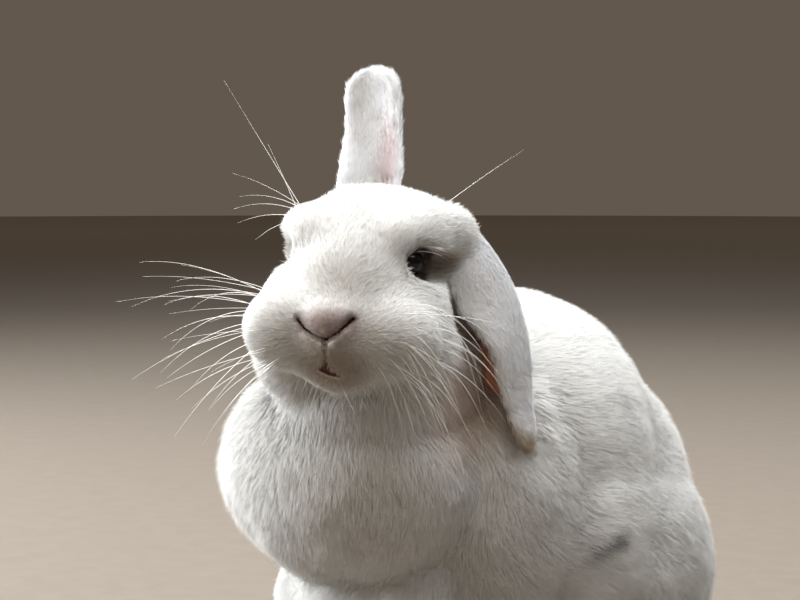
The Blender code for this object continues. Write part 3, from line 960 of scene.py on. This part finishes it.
WHISKER_ROOT, LASH_ROOT = 0.17, 0.30    # mm, radius
WHISKER_RINGS, WHISKER_SIDES = 14, 3
whiskers = []


def whisker(root, way, long, sag, bend=0.0, thick=WHISKER_ROOT):
    """Adds one whisker, in the head's mm: sag is how far its tip drops, bend how far it curls back."""
    nearest = np.argmin(length_of(skin_local - root))
    start = skin_local[nearest]
    way = unit(np.array(way, float))
    t = np.linspace(0, 1, WHISKER_RINGS)[:, None]
    whiskers.append((start + way * long * t + np.array((0, bend, -sag)) * t ** 2.2, thick))


random = np.random.default_rng(21)
for side in (1, -1):
    for row in range(5):
        for place in range(6):
            root = (side * (17 + 2.8 * place), 10 + 5.0 * place, 4.5 - 4.0 * row)
            if side == -1:
                way = (-1.0, 0.10 + 0.05 * place, 0.34 - 0.24 * row)
                long, droop = random.uniform(40, 76) * (1 - 0.06 * row), random.uniform(5, 18)
            else:
                way = (1.0 + 0.1 * place, 0.10 + 0.10 * place, 0.20 - 0.12 * row)
                long, droop = random.uniform(16, 34), random.uniform(16, 46)
            way = np.array(way) + random.normal(0, 0.09, 3)
            whisker(root, way, long, droop, random.uniform(0, 8))
    for k in range(5):
        root = (side * (26 + 1.5 * k), 50 + 3 * k, 44 - 1.5 * k)
        way = (side * (1.0 - 0.06 * k), 0.05 + 0.08 * k, 0.55 - 0.16 * k)
        long = random.uniform(26, 40) if side == -1 else random.uniform(7, 12)
        whisker(root, way, long, random.uniform(0.1, 0.3) * long)
    for k in range(4):
        root = (side * (4 + 4 * k), 14 + 4 * k, -24)
        way = (side * 0.5, 0.2, -1)
        whisker(root, way, random.uniform(10, 18), 2, 5)
whisker((-30, 52, 47), (-0.78, 0.1, 1.0), 62, -3, -6)
whisker((-31, 50, 44), (-0.45, 0.1, 0.8), 34, 2)
whisker((28, 60, 48), (1.0, 0.3, 0.9), 44, 2)
whisker((22, 14, 5), (1.0, 0.12, 0.10), 56, 9, 6)
whisker((26, 12, 2), (1.0, 0.25, -0.15), 24, 8, 3)
for reach, sag in ((34, 30), (30, 42), (26, 46), (20, 30), (30, 20)):
    whisker((22, 13, -2), (1.0, 0.15, -0.20), reach, sag, 6)
for k in range(4):
    whisker((20, 42, 36.5 - 2.2 * k), (1.0, 0.05, 0.2), 15, 3.5, thick=LASH_ROOT)

verts, faces = [], []
for spine, thick in whiskers:
    spine = out_of_head(spine)
    first = len(verts)
    for i, spot in enumerate(spine):
        way = unit(spine[min(i + 1, len(spine) - 1)] - spine[max(i - 1, 0)])
        aside = unit(np.cross(way, (0.3, 0.2, 1)))
        wide = thick * MM * (1 - 0.9 * i / (len(spine) - 1))
        for k in range(WHISKER_SIDES):
            angle = 2 * math.pi * k / WHISKER_SIDES
            verts.append(spot + wide * (aside * math.cos(angle) + np.cross(way, aside) * math.sin(angle)))
    for i in range(len(spine) - 1):
        for k in range(WHISKER_SIDES):
            low, high = first + i * WHISKER_SIDES, first + (i + 1) * WHISKER_SIDES
            near = (k + 1) % WHISKER_SIDES
            faces.append((low + k, low + near, high + near, high + k))
    faces.append(tuple(range(first, first + WHISKER_SIDES))[::-1])
    faces.append(tuple(range(len(verts) - WHISKER_SIDES, len(verts))))
mesh = bpy.data.meshes.new("whiskers")
mesh.from_pydata(verts, [], faces)
mesh.shade_smooth()
bristle, nodes, links, shader = new_material("whisker bristle", 0.35)
fade = noise_on(nodes, links, 60)
bristle_tone = two_toned(nodes, links, fade, (0.80, 0.78, 0.74), (0.95, 0.95, 0.94))
links.new(bristle_tone, shader.inputs["Base Color"])
mesh.materials.append(bristle)
bristles = added("whiskers", mesh)
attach(bristles, "root")

# ---------------------------------------------------------------------------------------------
# Studio.  A plain pale floor, a strong soft lamp like a window on the rabbit's right, two above and
# behind, weak ones in front and on the left, and the camera at the level of the rabbit's head.

FLOOR_RADIUS = 8         # metres
PALER_FROM, PALER_TO = 2.5, 6.0     # metres from the middle, over which the floor gets paler
bm = bmesh.new()
bmesh.ops.create_circle(bm, cap_ends=True, segments=96, radius=FLOOR_RADIUS)
mesh = bpy.data.meshes.new("floor")
bm.to_mesh(mesh)
bm.free()
floor = added("floor", mesh)
matt, nodes, links, shader = new_material("pale floor", 0.9)
speckle = noise_on(nodes, links, 60)
floor_tone = two_toned(nodes, links, speckle, (0.130, 0.108, 0.086), (0.158, 0.132, 0.106))
place = nodes.new("ShaderNodeTexCoord")
off_middle = nodes.new("ShaderNodeVectorMath")
off_middle.operation = "LENGTH"
links.new(place.outputs["Object"], off_middle.inputs[0])
far = nodes.new("ShaderNodeMapRange")
far.inputs["From Min"].default_value = PALER_FROM
far.inputs["From Max"].default_value = PALER_TO
links.new(off_middle.outputs["Value"], far.inputs["Value"])
paler = nodes.new("ShaderNodeMix")
paler.data_type = "RGBA"
links.new(far.outputs["Result"], paler.inputs["Factor"])
links.new(floor_tone, paler.inputs["A"])
paler.inputs["B"].default_value = (0.42, 0.36, 0.30, 1)
links.new(paler.outputs["Result"], shader.inputs["Base Color"])
floor.data.materials.append(matt)


def soft_lamp(name, place, aim, size, power, tint):
    lamp = bpy.data.lights.new(name, "AREA")
    lamp.shape = "DISK"
    lamp.size = size
    lamp.energy = power
    lamp.color = tint
    holder = added(name, lamp)
    holder.location = place
    holder.rotation_euler = (Vector(aim) - Vector(place)).to_track_quat("-Z", "Y").to_euler()


soft_lamp("sky", (0, 0.2, 1.9), (0, 0, 0.12), 1.6, 51, (0.96, 0.985, 1.0))
soft_lamp("back", (0.3, 1.0, 1.6), (0, 0, 0.12), 1.3, 25, (0.96, 0.985, 1.0))
soft_lamp("window", (-1.55, -0.7, 0.75), (0, -0.05, 0.15), 1.0, 90, (0.95, 0.98, 1.0))
soft_lamp("front", (0.2, -1.0, 1.8), (0, -0.05, 0.15), 1.2, 14, (1.0, 0.86, 0.68))
soft_lamp("left", (1.1, 0.0, 1.4), (0, -0.05, 0.15), 1.2, 9, (0.95, 0.98, 1.0))

world = bpy.data.worlds.new("room")
bpy.context.scene.world = world
world.use_nodes = True
world.node_tree.nodes["Background"].inputs["Color"].default_value = (0.68, 0.54, 0.41, 1)
world.node_tree.nodes["Background"].inputs["Strength"].default_value = 0.18

CAMERA_PLACE = (0.5520, -0.7015, 0.2445)
CAMERA_TURN, CAMERA_DIP = 40.0, 4.0     # degrees
lens = bpy.data.cameras.new("camera")
lens.lens = 90
lens.sensor_width = 36
camera = added("camera", lens)
camera.location = CAMERA_PLACE
camera.rotation_euler = (math.radians(90 - CAMERA_DIP), 0, math.radians(CAMERA_TURN))
bpy.context.scene.camera = camera

bpy.context.scene.view_settings.view_transform = "Standard"
